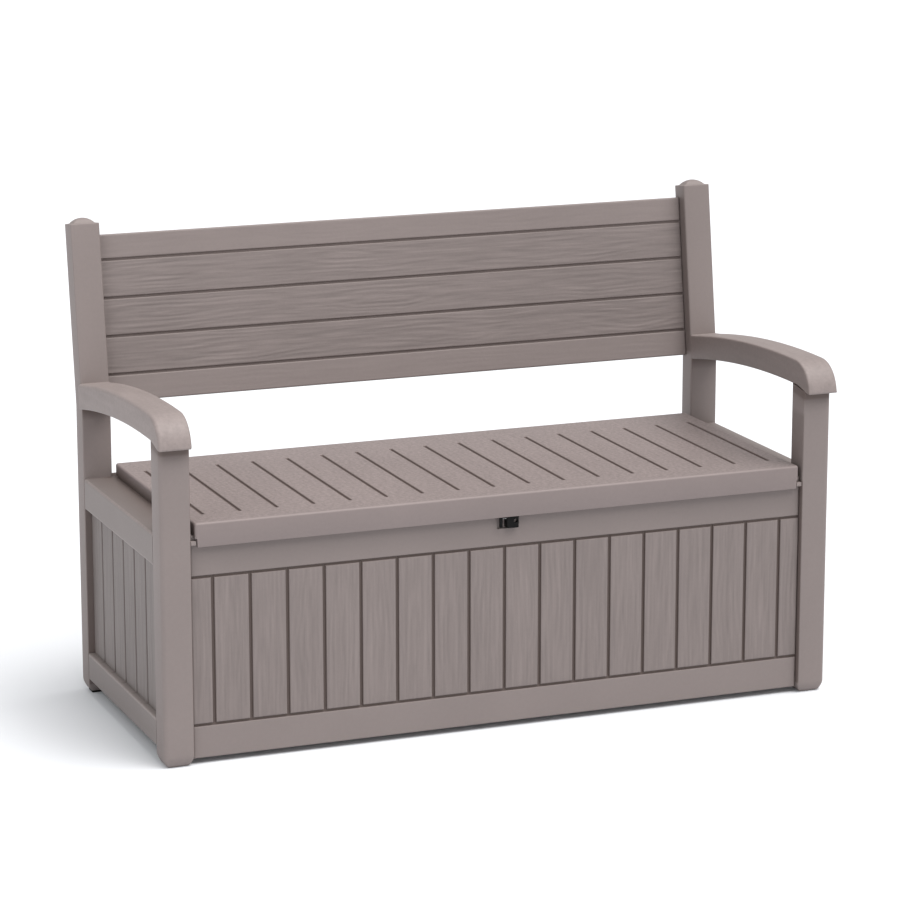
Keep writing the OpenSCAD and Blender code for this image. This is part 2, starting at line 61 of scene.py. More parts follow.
leg_low, leg_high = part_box("right_front_leg")
post_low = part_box("right_rear_post")[0]
arm_low, arm_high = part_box("right_armrest")
lid_low, lid_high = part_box("lid_panel")
side_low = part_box("right_side_panel")[0]
front_low, front_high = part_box("front_panel")
rear_low, rear_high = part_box("rear_panel")
pin_low, pin_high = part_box("right_hinge_pin")

LEG_IN, LEG_OUT = leg_low.x, leg_high.x
FRONT_Y = leg_low.y  # front face of the front legs
POST_Y = post_low.y  # front face of the rear posts, below the kink
LEG_BACK_Y = leg_high.y
POST_DEPTH = 44 * MM
REAR_Y = POST_Y + POST_DEPTH
RAIL_Z = front_high.z  # top of the box, under the lid

PITCH = 70 * MM  # of the planks on the seat, the front and the sides
PLANK_LINES = [i * PITCH for i in range(-8, 9)]
PLANK_LOW_Z, PLANK_TOP_Z = 72.5 * MM, 346 * MM


# ---- Mesh helpers ----

MERGE = 1e-6  # points closer than this become one


class Build:
    """Points, faces and point values (groove: painted shade; grain: wood grain, painted highlights and
    painted shade; wood) of a mesh made of several closed parts.
    """

    def __init__(self):
        self.points, self.faces, self.values, self.count = [], [], [], 0

    def add(self, points, faces, values=None):
        points = np.asarray(points, float).reshape(-1, 3)
        self.points.append(points)
        self.faces += [[i + self.count for i in f] for f in faces]
        self.values.append(np.zeros((len(points), 3)) if values is None else values)
        self.count += len(points)

    def mesh(self, name, sharp):
        """The mesh with its doubles merged, its normals outward and its edges over sharp degrees hard."""
        mesh = bpy.data.meshes.new(name)
        mesh.from_pydata(np.concatenate(self.points).tolist(), [], self.faces)
        for label, numbers in zip(("groove", "grain", "wood"), np.concatenate(self.values).T):
            attribute = mesh.attributes.new(label, "FLOAT", "POINT")
            attribute.data.foreach_set("value", np.array(numbers, np.float32))
        bm = bmesh.new()
        bm.from_mesh(mesh)
        bmesh.ops.remove_doubles(bm, verts=bm.verts, dist=MERGE)
        bmesh.ops.recalc_face_normals(bm, faces=bm.faces)
        bm.to_mesh(mesh)
        bm.free()
        mesh.polygons.foreach_set("use_smooth", [True] * len(mesh.polygons))
        mesh.set_sharp_from_angle(angle=math.radians(sharp))
        return mesh


def piece(node, ending, build, material, body, sharp=38):
    """The visible piece that stands for a CAD node and rides on a body."""
    mesh = build.mesh(node + ending, sharp)
    obj = bpy.data.objects.new(node + ending, mesh)
    bpy.context.scene.collection.objects.link(obj)
    mesh.materials.append(material)
    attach(obj, body)
    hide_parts(node)


def sided(side, node):
    return ("left_" if side < 0 else "right_") + node


def grid_faces(columns, rows, start=0):
    """Quads over a grid of points stored column by column."""
    return [[start + i * rows + j, start + (i + 1) * rows + j,
             start + (i + 1) * rows + j + 1, start + i * rows + j + 1]
            for i in range(columns - 1) for j in range(rows - 1)]


def slab(build, us, vs, relief, back_vs, back, place, back_shares=(0, 0, 0)):
    """A closed panel. Its front follows relief(u, v) over every us and vs, and its back is back(u, v) over
    every us and the few back_vs. relief returns the height and the groove (painted shade), grain and wood
    shares."""
    nu, nv, nb = len(us), len(vs), len(back_vs)
    u, v = np.meshgrid(us, vs, indexing="ij")
    height, *shares = relief(u, v)
    front = np.stack([u, v, height], -1).reshape(-1, 3)
    ub, vb = np.meshgrid(us, back_vs, indexing="ij")
    rear = np.stack([ub, vb, back(ub, vb)], -1).reshape(-1, 3)
    faces = grid_faces(nu, nv) + grid_faces(nu, nb, nu * nv)
    rear_at = nu * nv
    for i in range(nu - 1):
        for j, k in ((0, 0), (nv - 1, nb - 1)):
            faces.append([i * nv + j, (i + 1) * nv + j,
                          rear_at + (i + 1) * nb + k, rear_at + i * nb + k])
    stops = [int(np.argmin(abs(np.asarray(vs) - b))) for b in back_vs]
    for i in (0, nu - 1):
        for k in range(nb - 1):
            edge = [i * nv + j for j in range(stops[k], stops[k + 1] + 1)]
            faces.append(edge + [rear_at + i * nb + k + 1, rear_at + i * nb + k])
    values = np.zeros((len(front) + len(rear), 3))
    values[len(front):] = back_shares
    for k, share in enumerate(shares):
        values[:len(front), k] = np.minimum(share.ravel(), 1)
    build.add(place(np.concatenate([front, rear])), faces, values)


def lines(low, high, step, *details):
    """Sorted grid positions from low to high: even steps, and the offsets of each (centres, offsets) detail,
    which take the place of even steps close to them."""
    fine = {round(c + o, 7) for centres, offsets in details for c in centres for o in offsets}
    fine = sorted(x for x in fine | {low, high} if low <= x <= high)
    out = []
    for a, b in zip(fine, fine[1:]):
        out += list(np.linspace(a, b, max(1, round((b - a) / step)) + 1)[:-1])
    return np.array(out + [fine[-1]])


def both(*offsets):
    """Offsets in mm to both sides of a line."""
    return [s * o * MM for o in offsets for s in (-1, 1)]


def negative(offsets):
    return [-x for x in offsets]


def rounded_ring(x0, x1, y0, y1, radii, steps=7):
    """Points round a rectangle with round corners, anticlockwise from the one at high x and high y."""
    corners = [(x1 - r if n in (0, 3) else x0 + r, y1 - r if n < 2 else y0 + r, r)
               for n, r in enumerate(radii)]
    return [(cx + r * math.cos(turn), cy + r * math.sin(turn)) for n, (cx, cy, r) in enumerate(corners)
            for turn in n * math.pi / 2 + np.linspace(0, math.pi / 2, steps)]


def rounded_block(build, low, high, r=1 * MM):
    """A block with rounded edges and corners."""
    low, high = np.asarray(low, float), np.asarray(high, float)
    r = min(r, *(0.45 * (high - low)))
    rings = []
    for cap in (-1, 1):
        for a in np.linspace(0, math.pi / 2, 3)[::-cap]:
            spread, drop = r * (1 - math.sin(a)), r * (1 - math.cos(a))
            z = (low[2] + drop) if cap < 0 else (high[2] - drop)
            ring = rounded_ring(low[0] + spread, high[0] - spread, low[1] + spread, high[1] - spread,
                                [r - spread] * 4, 3)
            rings.append([(x, y, z) for x, y in ring])
    loft(build, rings)


def loft(build, rings, values=None):
    """A closed skin over rings of points, with a face on its first and last ring."""
    n = len(rings[0])
    faces = [[k * n + i, k * n + (i + 1) % n, (k + 1) * n + (i + 1) % n, (k + 1) * n + i]
             for k in range(len(rings) - 1) for i in range(n)]
    faces.append(list(range(n))[::-1])
    faces.append([(len(rings) - 1) * n + i for i in range(n)])
    build.add(np.asarray(rings, float).reshape(-1, 3), faces, values)


# ---- Relief ----

def lattice(ix, iy, seed):
    mixed = np.sin(ix * 127.1 + iy * 311.7 + seed * 74.7) * 43758.5453
    return mixed - np.floor(mixed)


def ease(t):
    return t * t * (3 - 2 * t)


def noise(x, y, seed):
    """Smooth noise from -1 to 1 that changes over a distance of about 1."""
    ix, iy = np.floor(x), np.floor(y)
    fx, fy = ease(x - ix), ease(y - iy)
    low = lattice(ix, iy, seed) * (1 - fx) + lattice(ix + 1, iy, seed) * fx
    high = lattice(ix, iy + 1, seed) * (1 - fx) + lattice(ix + 1, iy + 1, seed) * fx
    return 2 * (low * (1 - fy) + high * fy) - 1


LOG = 0.42  # metres of grain between one set of arches and the next
GRAIN_STEP = 2.1 * MM  # across the grain
LONG_STEP = 12 * MM  # along the grain
GRAIN_DEEP = 0.26 * MM
GROOVE_WALL = 0.5 * MM
GROOVE_LINES = both(0, 1.5, 2.3, 2.5, 2.75, 3.0, 3.25, 3.6, 4.1, 4.7, 6.4)
EDGE_LINES = [o * MM for o in (0, 0.15, 0.5, 1.0, 1.6, 2.4, 3.4, 4.6, 6.0)]
STEEP = [-0.15 * MM, 0.15 * MM]  # to both sides of a sudden step


def wood(along, across, seed):
    """Moulded wood grain, from about -1 to 1: long streaks that wander, and arches where the rings of a log
    were cut."""
    wave = 9 * MM * noise(along / 0.17, across / 0.05, seed)
    ripple = 2 * MM * noise(along / 0.05, across / 0.02, seed + 4)
    a = across + (wave + ripple)
    broad = noise(a / (9 * MM), along / 0.22, seed + 5)
    streaks = noise(a / (4.4 * MM), along / 0.11, seed + 1)
    fine = noise(a / (2.3 * MM), along / 0.045, seed + 2)
    log = np.round(along / LOG)
    heart = 0.020 * noise(seed * 7.3 + log * 1.9, 0.5, 11)
    middle = LOG * log + 0.10 * noise(seed * 3.7 + log * 5.3, 0.5, 12)
    reach = np.hypot((along - middle) * 0.10, a - heart)
    figure = np.sin(reach / (1.5 * MM) + 2.4 * noise(along / 0.08, across / 0.015, seed + 3))
    near = np.exp(-((along - middle) / 0.13) ** 2)
    return 0.35 * broad + 0.45 * streaks + 0.30 * fine + (0.10 + 0.50 * near) * figure


def fade(distance, width):
    """From 0 at no distance to 1 at the width."""
    return ease(np.clip(distance / width, 0, 1))


def groove_drop(distance, half, depth, shoulder):
    """How far the surface drops at a distance from the middle of a groove with rounded shoulders."""
    out = np.clip((half + shoulder - distance) / shoulder, 0, 1)
    rim = shoulder * (1 - np.sqrt(1 - out ** 2))
    return rim + (depth - shoulder) * fade(half - distance, GROOVE_WALL)


def to_nearest(value, positions):
    """Distance to the nearest of some positions."""
    return np.min([np.abs(value - x) for x in positions], axis=0)


def within(value, low, high):
    """Distance to the nearer of two limits, from between them."""
    return np.minimum(value - low, high - value)


def edge_drop(distance, r):
    """How far a face drops at a distance from its rounded edge."""
    d = np.clip(distance, 0, r)
    return r - np.sqrt(np.maximum(r * r - (r - d) ** 2, 0))


# ---- Materials ----

EVEN = (1, 1, 1)  # noise that isn't stretched


class Material:
    """A new material, with short ways to add nodes to its tree."""

    def __init__(self, name):
        self.made = bpy.data.materials.new(name)
        self.made.use_nodes = True
        self.nodes, self.links = self.made.node_tree.nodes, self.made.node_tree.links
        self.inputs = next(n for n in self.nodes if n.type == "BSDF_PRINCIPLED").inputs

    def feed(self, socket, value):
        """Sets a socket to a constant, or links it to another node's output."""
        if isinstance(value, bpy.types.NodeSocket):
            self.links.new(value, socket)
        else:
            socket.default_value = value

    def shade(self, **values):
        """Feeds the shader's inputs, named with _ for a space."""
        for label, value in values.items():
            self.feed(self.inputs[label.replace("_", " ")], value)

    def noise(self, scale, detail, stretch=EVEN, rough=0.5):
        """Noise over the object's own metres, stretched by a factor for each axis."""
        place = self.nodes.new("ShaderNodeTexCoord")
        turn = self.nodes.new("ShaderNodeMapping")
        turn.inputs["Scale"].default_value = stretch
        self.links.new(place.outputs["Object"], turn.inputs["Vector"])
        grains = self.nodes.new("ShaderNodeTexNoise")
        for label, value in (("Scale", scale), ("Detail", detail), ("Roughness", rough),
                             ("Vector", turn.outputs["Vector"])):
            self.feed(grains.inputs[label], value)
        return grains.outputs["Fac"]

    def attribute(self, label):
        box = self.nodes.new("ShaderNodeAttribute")
        box.attribute_name = label
        return box.outputs["Fac"]

    def remap(self, source, low, high, to_low, to_high):
        box = self.nodes.new("ShaderNodeMapRange")
        for label, value in (("Value", source), ("From Min", low), ("From Max", high), ("To Min", to_low),
                             ("To Max", to_high)):
            self.feed(box.inputs[label], value)
        return box.outputs["Result"]

    def swing(self, source, share, middle=1.0, low=0.3, high=0.7):
        """A factor that swings by a share round its middle, as its source goes from low to high."""
        return self.remap(source, low, high, middle - share, middle + share)

    def maths(self, kind, *values):
        box = self.nodes.new("ShaderNodeMath")
        box.operation = kind
        for socket, value in zip(box.inputs, values):
            self.feed(socket, value)
        return box.outputs["Value"]

    def mix(self, a, b, factor, blend="MIX"):
        box = self.nodes.new("ShaderNodeMix")
        box.data_type = "RGBA"
        box.blend_type = blend
        for label, value in (("A", a), ("B", b), ("Factor", factor)):
            self.feed(box.inputs[label], value)
        return box.outputs["Result"]

    def bump(self, height, strength, distance, normal=None):
        box = self.nodes.new("ShaderNodeBump")
        box.inputs["Strength"].default_value = strength
        box.inputs["Distance"].default_value = distance
        self.links.new(height, box.inputs["Height"])
        if normal is not None:
            self.links.new(normal, box.inputs["Normal"])
        return box.outputs["Normal"]


def resin(name, colour, stretch, streak, mottle=0.0, plank=1.0, rough=(0.50, 0.64)):
    """Matte moulded resin: a fine stipple, streaks along the grain of its planks, brown painted shade in
    grooves, joints and recesses, and painted highlights that make convex edges slightly paler. The planks'
    tone is plank times the rails' tone. streak and mottle are shares of tone, and work where a point's wood
    share is 1."""
    mat = Material(name)
    streaks = mat.noise(1.0, 4, stretch, 0.6)
    clouds = mat.noise(6.0, 3)
    specks = mat.noise(150.0, 3, rough=0.7)
    stipple = mat.noise(1300.0, 2, rough=0.6)
    grain, groove, wood_share = mat.attribute("grain"), mat.attribute("groove"), mat.attribute("wood")
    pointiness = mat.nodes.new("ShaderNodeNewGeometry").outputs["Pointiness"]

    planks_tone = mat.maths("ADD", mat.swing(streaks, streak, plank - 1), mat.swing(specks, mottle, 0))
    tone = mat.maths("ADD", mat.maths("MULTIPLY", planks_tone, wood_share), 1.0)
    # painted highlight: pointiness makes convex edges up to 12 % paler; the grain value also carries painted
    # highlights and painted shade
    for factor in (mat.swing(clouds, 0.03), mat.swing(specks, 0.02), mat.swing(grain, 0.07, 1, -1, 1),
                   mat.remap(pointiness, 0.51, 0.58, 1.0, 1.12)):
        tone = mat.maths("MULTIPLY", tone, factor)
    shaded = mat.mix((*colour, 1), tone, 1, "MULTIPLY")
    # painted shade: the colour that the groove share blends towards
    bottom = (*(c * k for c, k in zip(colour, PAINTED_SHADE_TINT)), 1)
    mat.shade(Base_Color=mat.mix(shaded, bottom, groove), Roughness=mat.remap(stipple, 0.3, 0.7, *rough),
              Specular_IOR_Level=0.40)

    normal = mat.bump(mat.maths("MULTIPLY", streaks, wood_share), 0.4, 0.3 * MM)
    normal = mat.bump(specks, 0.25, (0.15 + 0.8 * mottle) * MM, normal)
    mat.shade(Normal=mat.bump(stipple, 0.35, 0.12 * MM, normal))
    return mat.made


RESIN = (0.205, 0.171, 0.163)
PAINTED_SHADE_TINT = (0.50, 0.44, 0.41)  # painted shade: colour in grooves, joints and recesses, as shares of the resin's
UPRIGHT = (210, 210, 9)  # grain along Z
ENDLONG = (9, 210, 210)  # grain along X
FROM_FRONT = (210, 9, 210)  # grain along Y


def toned(share):
    return tuple(share * c for c in RESIN)


resin_frame = resin("resin_frame", toned(1.02), (60, 60, 9), 0.02)
# painted light: the armrests' resin is a lighter copy of the frame's
resin_arm_lit = resin("resin_arm_lit", toned(1.11), (80, 8, 80), 0.06, 0.05)
resin_front = resin("resin_front", toned(0.97), UPRIGHT, 0.09, plank=0.97)
# painted shade: the side panels' resin is a darker, cooler copy, its planks darkest
resin_side_shaded = resin("resin_side_shaded", (0.199, 0.170, 0.162), UPRIGHT, 0.09, plank=0.88)
resin_back = resin("resin_back", toned(1.08), ENDLONG, 0.11, plank=0.87)
resin_lid = resin("resin_lid", (0.207, 0.170, 0.164), FROM_FRONT, 0.03, 0.22)
resin_inner = resin("resin_inner", toned(0.93), (50, 50, 50), 0.02, rough=(0.55, 0.70))


def black_plastic():
    """Satin black plastic with a fine stipple and dusty edges."""
    mat = Material("black_plastic")
    stipple = mat.noise(1700.0, 2)
    dust = mat.noise(60.0, 4)
    clean, dusty = (0.004, 0.004, 0.0042, 1), (0.010, 0.0095, 0.009, 1)
    mat.shade(Base_Color=mat.mix(clean, dusty, mat.remap(dust, 0.4, 0.8, 0, 1)), Specular_IOR_Level=0.10,
              Roughness=mat.remap(dust, 0.3, 0.7, 0.42, 0.55), Normal=mat.bump(stipple, 0.25, 0.08 * MM))
    return mat.made


def zinc_steel():
    """Zinc-plated steel with a fine grain and dull spots."""
    mat = Material("zinc_steel")
    spots = mat.noise(240.0, 4)
    fine = mat.noise(1500.0, 2)
    mat.shade(Base_Color=mat.mix((0.54, 0.55, 0.56, 1), (0.68, 0.68, 0.66, 1), spots), Metallic=1.0,
              Roughness=mat.remap(spots, 0.3, 0.7, 0.26, 0.46), Normal=mat.bump(fine, 0.2, 0.05 * MM))
    return mat.made


black = black_plastic()
steel = zinc_steel()


# ---- Box panels ----

POCKET_X = (-15 * MM, 27.5 * MM)  # the lock's pocket
POCKET_Z = (380 * MM, 403 * MM)
SKIN = 6 * MM  # how far a panel's back lies behind its face
RIB = 3 * MM
FLANGE_TOP = 18 * MM  # of the front's and the rear's lower flange
SHADE_FULL_DEPTH = 4 * MM / 1.5  # a groove as deep as this gets the full painted shade
HINGE_Y = (pin_low.y + pin_high.y) / 2


def flat_back(u, v):
    return np.full(u.shape, -SKIN)


def upright_planks(u, v, seed):
    """Upright planks between two plain rails: which points are on the planks, the grooves' drop, the share of
    relief that their distance leaves, the place across a plank from 0 to 1, and the grain."""
    d = to_nearest(u, PLANK_LINES)
    inside = (v > PLANK_LOW_Z) & (v < PLANK_TOP_Z)
    upright = np.where(inside, groove_drop(d, 3.0 * MM, 4 * MM, 1.6 * MM), 0)
    level = to_nearest(v, [PLANK_LOW_Z, PLANK_TOP_Z])
    drop = np.maximum(upright, groove_drop(level, 2.5 * MM, 3.4 * MM, 1.6 * MM))
    plank = np.floor(u / PITCH)
    clear = fade(np.minimum(d, level) - 3 * MM, 5 * MM)
    grain = np.where(inside, wood(v - 0.2, u - (plank + 0.5) * PITCH, plank + seed), 0) * clear
    return inside, drop, clear, u / PITCH - plank, grain


def front_relief(u, v):
    """Slightly crowned planks, and the pocket for the lock. The panel's ends round off towards the legs.
    Painted shade lies in the grooves, the pocket and at the ends; a painted shadow darkens the top rail
    towards the lid's lip, and painted light makes the bottom rail a little paler."""
    inside, drop, clear, share, grain = upright_planks(u, v, 40)
    crown = np.where(inside, 0.35 * MM * (1 - (share * 2 - 1) ** 2), 0) * clear
    ends = edge_drop(LEG_IN - np.abs(u), 5 * MM)
    round_edges = np.maximum(edge_drop(within(v, front_low.z, RAIL_Z), 2.4 * MM), ends)
    pocket = (within(u, *POCKET_X) > 0) & (within(v, *POCKET_Z) > 0)
    height = -np.maximum(drop, round_edges) + GRAIN_DEEP * grain + crown
    # painted shadow of the lid's lip on the top rail, and painted light on the bottom rail
    grain = np.where(v > PLANK_TOP_Z, -fade(v - PLANK_TOP_Z, 40 * MM), grain)
    grain = np.where(v < PLANK_LOW_Z, 0.8, grain)
    # painted shade in the grooves, the pocket and at the panel's ends
    painted_shade_share = np.where(pocket, 1, np.maximum(drop / SHADE_FULL_DEPTH, ends / (3 * MM)))
    return np.where(pocket, -14 * MM, height), painted_shade_share, grain, (inside & ~pocket).astype(float)


def front_panel():
    """The face, top and bottom flanges, ribs behind its grooves and edges, and a block behind the pocket."""
    face_y = FRONT_Y + 10 * MM
    us = lines(-LEG_IN, LEG_IN, GRAIN_STEP, (PLANK_LINES, GROOVE_LINES), (POCKET_X, STEEP),
               ([-LEG_IN], EDGE_LINES), ([LEG_IN], negative(EDGE_LINES)))
    vs = lines(front_low.z, RAIL_Z, LONG_STEP, ([PLANK_LOW_Z, PLANK_TOP_Z], GROOVE_LINES),
               ([front_low.z], EDGE_LINES), ([RAIL_Z], negative(EDGE_LINES)), (POCKET_Z, STEEP))
    back_vs = [front_low.z, POCKET_Z[0] - 3 * MM, POCKET_Z[1] + 3 * MM, RAIL_Z]
    vs = np.unique(np.round(np.concatenate([vs, back_vs]), 7))

    def place(p):
        return np.stack([p[:, 0], face_y - p[:, 2], p[:, 1]], -1)

    build = Build()
    slab(build, us, vs, front_relief, back_vs, flat_back, place)
    inside, back_y = face_y + 4 * MM, face_y + 20 * MM  # where ribs start in the skin, and where they end
    low, high = front_low.z + MM, RAIL_Z - MM
    rounded_block(build, (-LEG_IN, inside, RAIL_Z - 6 * MM), (LEG_IN, back_y, RAIL_Z - 0.6 * MM))
    rounded_block(build, (-LEG_IN, inside, front_low.z + 0.6 * MM), (LEG_IN, front_high.y, FLANGE_TOP))
    for x in PLANK_LINES:
        rounded_block(build, (x - RIB / 2, inside + MM, low), (x + RIB / 2, back_y, high))
    for x in (-LEG_IN, LEG_IN - RIB):
        rounded_block(build, (x, inside, low), (x + RIB, back_y, high))
    for z in (PLANK_LOW_Z, PLANK_TOP_Z):
        rounded_block(build, (-LEG_IN, inside, z - RIB / 2), (LEG_IN, face_y + 16 * MM, z + RIB / 2))
    rounded_block(build, (POCKET_X[0] - 4 * MM, face_y + 15 * MM, POCKET_Z[0] - 3 * MM),
                  (POCKET_X[1] + 4 * MM, back_y + MM, high))
    piece("front_panel", "_moulding", build, resin_front, "frame")


def rear_relief(u, v):
    """The same planks as the front's, on the outside of the rear panel."""
    inside, drop, clear, share, grain = upright_planks(u, v, 80)
    height = -drop + GRAIN_DEEP * grain - edge_drop(within(v, rear_low.z, rear_high.z), 2.4 * MM)
    # painted shade in the grooves
    return height, drop / SHADE_FULL_DEPTH, grain, inside.astype(float)


def rear_panel():
    """The outer wall, an inner shelf at the top, a lower flange, ribs, and a pad behind each bracket."""
    face_y = REAR_Y - 8 * MM
    wall_top, top = rear_high.z, 404 * MM  # top of the ribs and of the inner shelf
    us = lines(-LEG_IN, LEG_IN, GRAIN_STEP, (PLANK_LINES, GROOVE_LINES))
    vs = lines(rear_low.z, wall_top, LONG_STEP, ([PLANK_LOW_Z, PLANK_TOP_Z], GROOVE_LINES),
               ([rear_low.z], EDGE_LINES), ([wall_top], negative(EDGE_LINES)))

    def place(p):
        return np.stack([p[:, 0], face_y + p[:, 2], p[:, 1]], -1)

    build = Build()
    slab(build, us, vs, rear_relief, [rear_low.z, wall_top], flat_back, place)
    inner_y, inside = POST_Y + 22 * MM, face_y - 4 * MM  # the ribs' inner face, and their end in the wall
    rounded_block(build, (-LEG_IN, POST_Y + 3 * MM, top - 6 * MM), (LEG_IN, inside, top - 0.6 * MM), 1.5 * MM)
    rounded_block(build, (-LEG_IN, POST_Y + 8 * MM, rear_low.z + 0.6 * MM), (LEG_IN, inside, FLANGE_TOP))
    for x in PLANK_LINES + [RIB / 2 - LEG_IN, LEG_IN - RIB / 2]:
        rounded_block(build, (x - RIB / 2, inner_y, rear_low.z + MM), (x + RIB / 2, inside, top - MM))
    for side in (-1, 1):
        low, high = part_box(sided(side, "hinge_bracket"))
        rounded_block(build, (low.x - 4 * MM, inner_y, low.z - 4 * MM), (high.x + 4 * MM, inside, top - MM))
    piece("rear_panel", "_moulding", build, resin_front, "frame")


SIDE_GROOVES = [FRONT_Y + (142 + 70 * i) * MM for i in range(5)]
SIDE_LOW_TOP_Z, SIDE_RAIL_Z = 82 * MM, 365 * MM  # the two rails' edges towards the planks
SIDE_RECESS = 13 * MM
STEP_LINES = [o * MM for o in (-5, -3.2, -1.8, -0.8, -0.25, 0, 0.2, 0.5, 1.1, 2, 3, 4.5)]


def side_relief(u, v):
    """Upright planks set back between two rails that are flush with the legs. The rails' rear ends round
    off towards the post. Painted shade lies in the grooves and at those ends, and a painted highlight makes
    the rails' edges a little paler."""
    d = to_nearest(u, SIDE_GROOVES)
    field = (v > SIDE_LOW_TOP_Z) & (v < SIDE_RAIL_Z)
    to_rail = to_nearest(v, [SIDE_LOW_TOP_Z, SIDE_RAIL_Z])
    drop = np.where(field, groove_drop(d, 3.0 * MM, 3.8 * MM, 1.6 * MM), 0)
    plank = np.floor((u - SIDE_GROOVES[0]) / PITCH)
    clear = fade(np.minimum(d - 3 * MM, to_rail - 5 * MM), 5 * MM)
    across = u - SIDE_GROOVES[0] - (plank + 0.5) * PITCH
    grain = np.where(field, wood(v - 0.2, across, plank + 140), 0) * clear
    end = edge_drop(POST_Y - u, 6 * MM)
    recessed = -SIDE_RECESS - drop + GRAIN_DEEP * grain - 0.6 * end
    rails = -np.max([edge_drop(to_rail, 3.2 * MM), edge_drop(v - side_low.z, 4 * MM),
                     edge_drop(RAIL_Z - v, 5 * MM), end], axis=0)
    # painted shade in the grooves and at the rear ends
    painted_shade_share = np.where(field, np.maximum(drop / SHADE_FULL_DEPTH, end / (4 * MM)), end / (3 * MM))
    top = v > RAIL_Z - 0.1 * MM  # the row that the flat top starts from
    painted_shade_share = np.where(top, 0.05, painted_shade_share)
    # painted highlight along the rails' edges, through a paler tone and a negative wood share
    painted_highlight = np.where(top, 0, 1 - fade(np.minimum(to_rail, RAIL_Z - v) - 2 * MM, 3 * MM))
    return (np.where(field, recessed, rails), painted_shade_share, np.where(field, grain, painted_highlight),
            np.where(field, 1, -1.7 * painted_highlight))


def side_panel(side):
    """The planks and rails, the flat top that carries the lid's edge, its hanging flange and the ribs. The
    flat top has painted shade towards the lid, and is notched at the back, where the lid's rear edge swings
    down."""
    shelf, notch_x = LEG_OUT - side_low.x, LEG_OUT - lid_high.x - 1.5 * MM
    notch_y = HINGE_Y - 2 * MM
    us = lines(LEG_BACK_Y, POST_Y, GRAIN_STEP, (SIDE_GROOVES, GROOVE_LINES), ([notch_y], STEEP),
               ([POST_Y], negative(EDGE_LINES)))
    vs = lines(side_low.z, RAIL_Z, LONG_STEP, ([SIDE_LOW_TOP_Z], negative(STEP_LINES)),
               ([SIDE_RAIL_Z], STEP_LINES), ([side_low.z], EDGE_LINES), ([RAIL_Z], negative(EDGE_LINES)),
               ([RAIL_Z - SKIN], (0,)))
    back_vs = [side_low.z, SIDE_LOW_TOP_Z - 4.5 * MM, SIDE_RAIL_Z + 4.5 * MM, RAIL_Z - SKIN,
               RAIL_Z - 5.9 * MM, RAIL_Z]
    vs = np.unique(np.round(np.concatenate([vs, back_vs]), 7))

    def back(u, v):
        top = -np.where(u < notch_y, shelf, notch_x)
        return np.where(v > RAIL_Z - 5.95 * MM, top, -SIDE_RECESS - SKIN)

    def place(p):
        return np.stack([side * (LEG_OUT + p[:, 2]), p[:, 0], p[:, 1]], -1)

    def block(x0, y0, z0, x1, y1, z1):
        xs = sorted((side * x0, side * x1))
        rounded_block(build, (xs[0], y0, z0), (xs[1], y1, z1))

    build = Build()
    # painted shade on the flat top's inner part, towards the lid
    slab(build, us, vs, side_relief, back_vs, back, place, (1.3, -1, 0))
    field = LEG_OUT - SIDE_RECESS - SKIN
    low, high = RAIL_Z - 24 * MM, RAIL_Z - 3 * MM
    block(side_low.x + 0.2 * MM, LEG_BACK_Y, low, side_low.x + 5 * MM, notch_y - MM, high)
    block(side_low.x, side_low.y, RAIL_Z - SKIN, LEG_IN, LEG_BACK_Y + MM, RAIL_Z - 0.3 * MM)
    for y in SIDE_GROOVES:
        block(field - 9 * MM, y - RIB / 2, 46 * MM, field + MM, y + RIB / 2, high)
        block(side_low.x + MM, y - RIB / 2, low + 0.3 * MM, field + MM, y + RIB / 2, high - MM)
    piece(sided(side, "side_panel"), "_moulding", build, resin_side_shaded, "frame")


# ---- Backrest, in its own leaning frame: x, depth t behind the posts' front, height s along the slope ----

BACK_T = 22 * MM  # recess of the panel's face
BACK_PITCH = 72.3 * MM


def lean_point(x, t, s):
    return np.stack([x, POST_Y + t * math.cos(LEAN) + s * math.sin(LEAN),
                     KINK_Z - t * math.sin(LEAN) + s * math.cos(LEAN)], -1)


def slope(z):
    """Height along the slope of a point on the panel's face."""
    return (z - KINK_Z + BACK_T * math.sin(LEAN)) / math.cos(LEAN)


BACK_LOW, BACK_TOP = slope(561.6 * MM), slope(874 * MM)
BACK_GROOVES = [slope(612 * MM) + k * BACK_PITCH for k in range(4)]
BACK_GRAIN_STEP, BACK_LONG_STEP = 1.8 * MM, 6 * MM


def back_relief(u, v):
    """Three level planks with arched grain between two rails with a fainter one."""
    d = to_nearest(v, BACK_GROOVES)
    drop = groove_drop(d, 2.5 * MM, 3.6 * MM, 1.8 * MM)
    plank = np.sum([v > s for s in BACK_GROOVES], axis=0).astype(float)
    middle = BACK_GROOVES[0] + (plank - 0.5) * BACK_PITCH
    rail = (plank < 0.5) | (plank > 3.5)
    clear = fade(d - 3 * MM, 5 * MM) * fade(LEG_IN - np.abs(u), 4 * MM)
    grain = wood(u - 0.35 * (plank - 2), v - middle, plank + 7) * clear
    grain = np.where(rail, 0.25 * grain, grain)
    ends = edge_drop(LEG_IN - np.abs(u), 4 * MM)
    height = -drop + GRAIN_DEEP * 1.4 * grain - edge_drop(within(v, BACK_LOW, BACK_TOP), 3 * MM) - ends
    # painted shade in the grooves
    return height, 0.7 * drop / (4 * MM), grain, np.where(rail, 0.25, 1.0)


